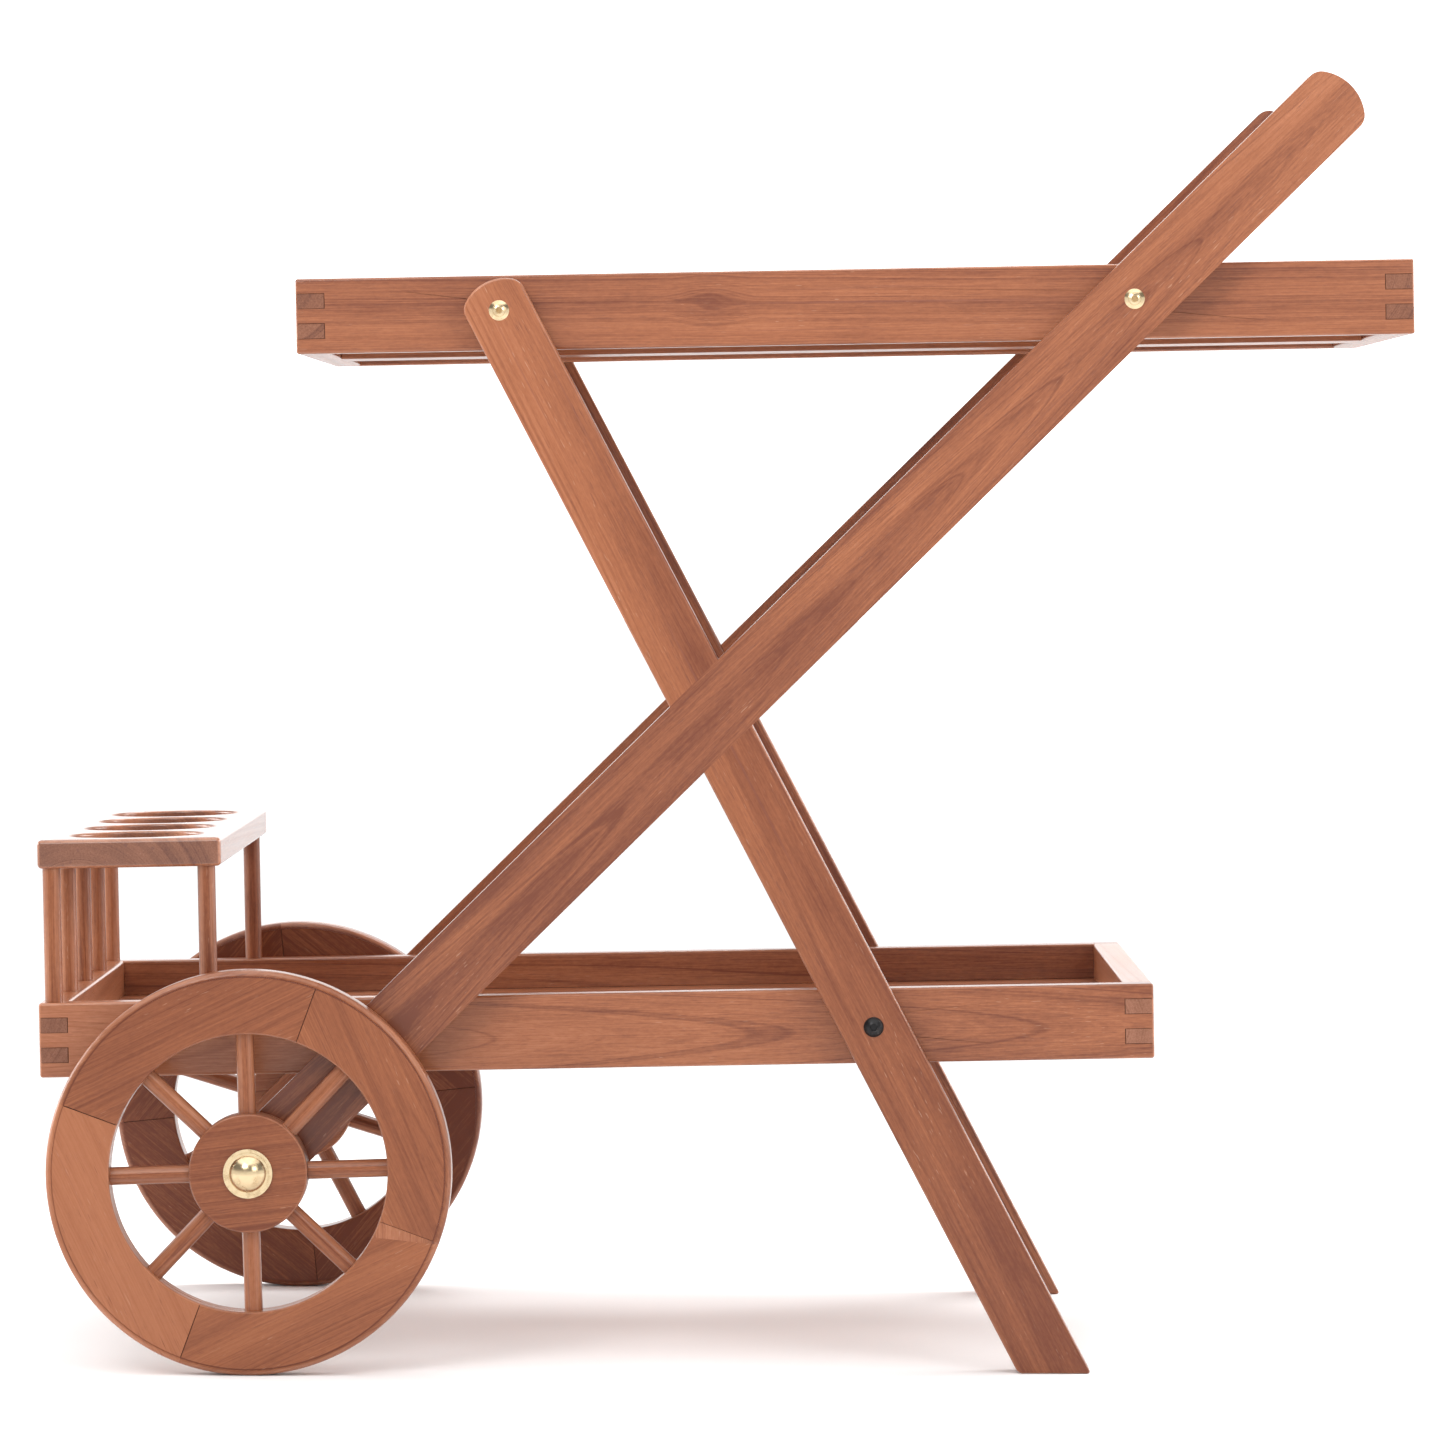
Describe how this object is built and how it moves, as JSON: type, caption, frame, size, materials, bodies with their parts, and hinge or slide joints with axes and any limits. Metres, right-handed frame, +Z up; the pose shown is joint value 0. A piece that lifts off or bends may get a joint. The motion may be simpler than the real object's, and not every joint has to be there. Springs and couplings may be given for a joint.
{
  "type": "serving trolley",
  "caption": "Tiered wooden serving trolley with crossed side frames, spoked wheels, long handle beams and a bottle rack above the lower tray.",
  "frame": {"origin": "on the floor, under the middle of the overall length and width", "axes": "+X from the wheel end towards the handle end, +Y from the near side to the far side across the trolley, +Z up"},
  "size_m": [0.9562, 0.592, 0.9015],
  "materials": {
    "side_frame_wood": "satin oiled reddish hardwood",
    "tray_wood": "satin oiled reddish hardwood",
    "tray_floor_wood": "satin oiled reddish hardwood",
    "rack_wood": "satin oiled reddish hardwood",
    "wheel_wood": "satin oiled reddish hardwood",
    "brass": "polished, slightly tarnished",
    "black_steel": "blackened, satin",
    "axle_steel": "bright drawn bar"
  },
  "bodies": {
    "frame": {"near_beam": "side_frame_wood", "far_beam": "side_frame_wood", "near_leg": "side_frame_wood", "far_leg": "side_frame_wood", "upper_near_rail": "tray_wood", "upper_far_rail": "tray_wood", "upper_wheel_end": "tray_wood", "upper_handle_end": "tray_wood", "upper_floor": "tray_floor_wood", "upper_centre_board": "tray_wood", "lower_near_rail": "tray_wood", "lower_far_rail": "tray_wood", "lower_wheel_end": "tray_wood", "lower_handle_end": "tray_wood", "lower_floor": "tray_floor_wood", "lower_centre_board": "tray_wood", "rack_board": "rack_wood", "rack_post_1": "rack_wood", "rack_post_2": "rack_wood", "rack_post_3": "rack_wood", "rack_post_4": "rack_wood", "rack_post_5": "rack_wood", "rack_post_6": "rack_wood", "rack_post_7": "rack_wood", "axle": "axle_steel", "hub_washers": "brass", "near_axle_cap": "brass", "far_axle_cap": "brass", "brass_bolts": "brass", "black_bolts": "black_steel", "tray_inserts": "brass"},
    "near_wheel": {"near_felloe_1": "wheel_wood", "near_felloe_2": "wheel_wood", "near_felloe_3": "wheel_wood", "near_felloe_4": "wheel_wood", "near_spoke_1": "wheel_wood", "near_spoke_2": "wheel_wood", "near_spoke_3": "wheel_wood", "near_spoke_4": "wheel_wood", "near_spoke_5": "wheel_wood", "near_spoke_6": "wheel_wood", "near_spoke_7": "wheel_wood", "near_spoke_8": "wheel_wood", "near_hub": "wheel_wood", "near_rim_wedge": "wheel_wood"},
    "far_wheel": {"far_felloe_1": "wheel_wood", "far_felloe_2": "wheel_wood", "far_felloe_3": "wheel_wood", "far_felloe_4": "wheel_wood", "far_spoke_1": "wheel_wood", "far_spoke_2": "wheel_wood", "far_spoke_3": "wheel_wood", "far_spoke_4": "wheel_wood", "far_spoke_5": "wheel_wood", "far_spoke_6": "wheel_wood", "far_spoke_7": "wheel_wood", "far_spoke_8": "wheel_wood", "far_hub": "wheel_wood"}
  },
  "joints": [
    {"name": "near_wheel_spin", "type": "hinge", "parent": "frame", "child": "near_wheel", "pos_m": [-0.32654, -0.2735, 0.14], "axis": [0, 1, 0], "continuous": true},
    {"name": "far_wheel_spin", "type": "hinge", "parent": "frame", "child": "far_wheel", "pos_m": [-0.32654, 0.2735, 0.14], "axis": [0, 1, 0], "continuous": true}
  ]
}
